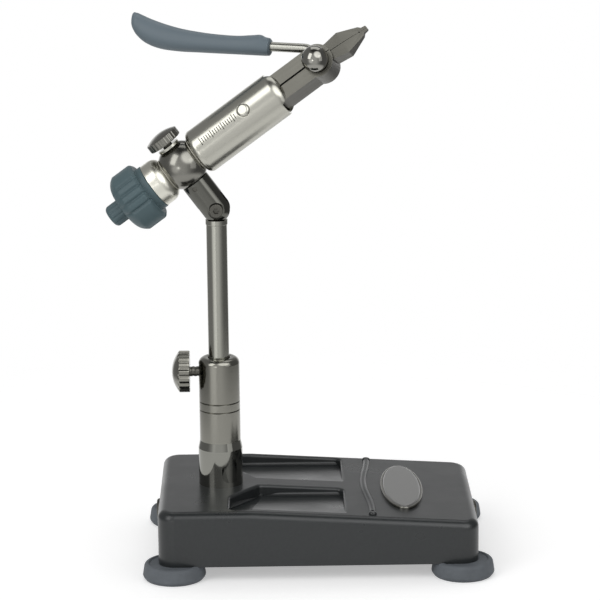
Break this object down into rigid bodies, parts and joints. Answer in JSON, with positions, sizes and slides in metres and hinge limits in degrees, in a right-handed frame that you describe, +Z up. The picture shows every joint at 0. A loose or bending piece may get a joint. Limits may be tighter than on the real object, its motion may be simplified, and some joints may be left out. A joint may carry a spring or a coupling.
{
  "type": "fly tying vise",
  "caption": "Rotary fly tying vise on a heavy pedestal base, with a tilting head, lever-opened hook jaws and a clamped height-adjustable post.",
  "frame": {"origin": "on the bench under the middle of the vise's overall length, midway between its front and back feet", "axes": "+X towards the jaws' tip, +Y to the back, away from the side that the lever leans to, +Z up along the post"},
  "size_m": [0.1821, 0.114, 0.2599],
  "materials": {
    "grey_paint": "satin charcoal-grey paint on cast iron",
    "foot_rubber": "matt grey rubber",
    "polished_steel": "polished steel",
    "satin_steel": "satin nickel-plated steel",
    "hardened_steel": "ground and hardened tool steel",
    "dark_steel": "dark oxide-finished steel",
    "grey_wheel": "blue-grey satin coating on aluminium",
    "grip_rubber": "blue-grey soft moulded grip",
    "pale_plastic": "low-friction bearing plastic",
    "brass": "plain brass",
    "bright_aluminium": "bright aluminium",
    "badge_grey": "grey enamelled plate"
  },
  "bodies": {
    "base": {"base_casting": "grey_paint", "foot_front_left": "foot_rubber", "foot_front_right": "foot_rubber", "foot_rear_left": "foot_rubber", "foot_rear_right": "foot_rubber", "foot_screws": "dark_steel", "badge_rim": "bright_aluminium", "badge_face": "badge_grey", "hook_rail": "grey_paint", "rail_pins": "polished_steel", "end_plug_left": "dark_steel", "end_plug_right": "dark_steel", "post_collar": "polished_steel", "post_sleeve": "polished_steel", "post_bolt": "dark_steel", "post_washer": "satin_steel"},
    "stem_liner": {"stem_liner": "pale_plastic"},
    "stem": {"stem_rod": "polished_steel", "stem_knuckle": "satin_steel"},
    "clamp_pad": {"clamp_pad": "brass"},
    "clamp_screw": {"clamp_screw": "dark_steel", "clamp_knob": "dark_steel"},
    "link": {"tilt_link": "satin_steel", "link_setscrew": "dark_steel", "pivot_screw": "dark_steel", "bearing_ball": "satin_steel", "ball_stud": "dark_steel", "bearing_bush_front": "pale_plastic", "bearing_bush_rear": "pale_plastic", "brake_collar": "satin_steel"},
    "brake_pad": {"brake_pad": "brass"},
    "brake_screw": {"brake_screw": "dark_steel", "brake_knob": "satin_steel"},
    "head": {"head_shaft": "satin_steel", "barrel": "satin_steel", "cross_pin": "polished_steel", "rear_cup": "satin_steel", "hand_wheel": "grey_wheel", "wheel_setscrew": "dark_steel"},
    "upper_jaw": {"upper_jaw": "hardened_steel"},
    "lower_jaw": {"lower_jaw": "hardened_steel"},
    "lever": {"cam_axle": "satin_steel", "cam_ball_near": "polished_steel", "cam_ball_far": "polished_steel", "lever_rod": "polished_steel", "lever_grip": "grip_rubber"},
    "jaw_cone": {"jaw_cone": "hardened_steel"},
    "spring_seat": {"spring_seat": "satin_steel", "jaw_spring": "hardened_steel"},
    "adjuster": {"adjuster_spindle": "satin_steel", "adjuster_knob": "grey_wheel"}
  },
  "joints": [
    {"name": "stem_turn", "type": "hinge", "parent": "base", "child": "stem_liner", "pos_m": [-0.0386, 0, 0.075], "axis": [0, 0, 1], "continuous": true},
    {"name": "stem_slide", "type": "slide", "parent": "stem_liner", "child": "stem", "axis": [0, 0, 1], "range_m": [-0.015, 0.016]},
    {"name": "head_tilt", "type": "hinge", "parent": "stem", "child": "link", "pos_m": [-0.0386, 0, 0.1693], "axis": [0, -1, 0], "range_deg": [-36, 31]},
    {"name": "head_spin", "type": "hinge", "parent": "link", "child": "head", "pos_m": [-0.05413, 0, 0.19052], "axis": [0.807, 0, 0.5906], "continuous": true},
    {"name": "lever_swing", "type": "hinge", "parent": "head", "child": "lever", "pos_m": [0.01134, -0.00027, 0.23778], "axis": [-0.2681, -0.891, 0.3664], "range_deg": [0, 20], "stiffness_Nm_per_rad": 0.5, "springref_deg": -11.46},
    {"name": "upper_jaw_open", "type": "hinge", "parent": "head", "child": "upper_jaw", "pos_m": [-0.0221, 0, 0.21397], "axis": [-0.2681, -0.891, 0.3664], "range_deg": [0, 0.601]},
    {"name": "lower_jaw_open", "type": "hinge", "parent": "head", "child": "lower_jaw", "pos_m": [-0.0221, 0, 0.21397], "axis": [0.2681, 0.891, -0.3664], "range_deg": [0, 0.601]},
    {"name": "cone_back", "type": "slide", "parent": "head", "child": "jaw_cone", "axis": [-0.807, 0, -0.5906], "range_m": [0, 0.0004], "deforming": ["jaw_spring"]},
    {"name": "adjuster_turn", "type": "hinge", "parent": "spring_seat", "child": "adjuster", "pos_m": [-0.05413, 0, 0.19052], "axis": [-0.807, 0, -0.5906], "range_deg": [0, 720]},
    {"name": "seat_back", "type": "slide", "parent": "head", "child": "spring_seat", "axis": [-0.807, 0, -0.5906], "range_m": [0, 0.0016]},
    {"name": "brake_turn", "type": "hinge", "parent": "brake_pad", "child": "brake_screw", "pos_m": [-0.05413, 0, 0.19052], "axis": [-0.5906, 0, 0.807], "range_deg": [0, 540]},
    {"name": "brake_out", "type": "slide", "parent": "link", "child": "brake_pad", "axis": [-0.5906, 0, 0.807], "range_m": [0, 0.0012]},
    {"name": "clamp_turn", "type": "hinge", "parent": "clamp_pad", "child": "clamp_screw", "pos_m": [-0.0386, 0, 0.0894], "axis": [-1, 0, 0], "range_deg": [0, 540]},
    {"name": "clamp_out", "type": "slide", "parent": "base", "child": "clamp_pad", "axis": [-1, 0, 0], "range_m": [0, 0.0012]}
  ],
  "couplings": [
    {"joint": "upper_jaw_open", "follows": "lever_swing", "ratio": 0.03},
    {"joint": "lower_jaw_open", "follows": "lever_swing", "ratio": 0.03},
    {"joint": "cone_back", "follows": "lever_swing", "m_per_rad": 0.001145},
    {"joint": "adjuster_turn", "follows": "seat_back", "rad_per_m": 7854},
    {"joint": "brake_turn", "follows": "brake_out", "rad_per_m": 7854},
    {"joint": "clamp_turn", "follows": "clamp_out", "rad_per_m": 7854}
  ]
}
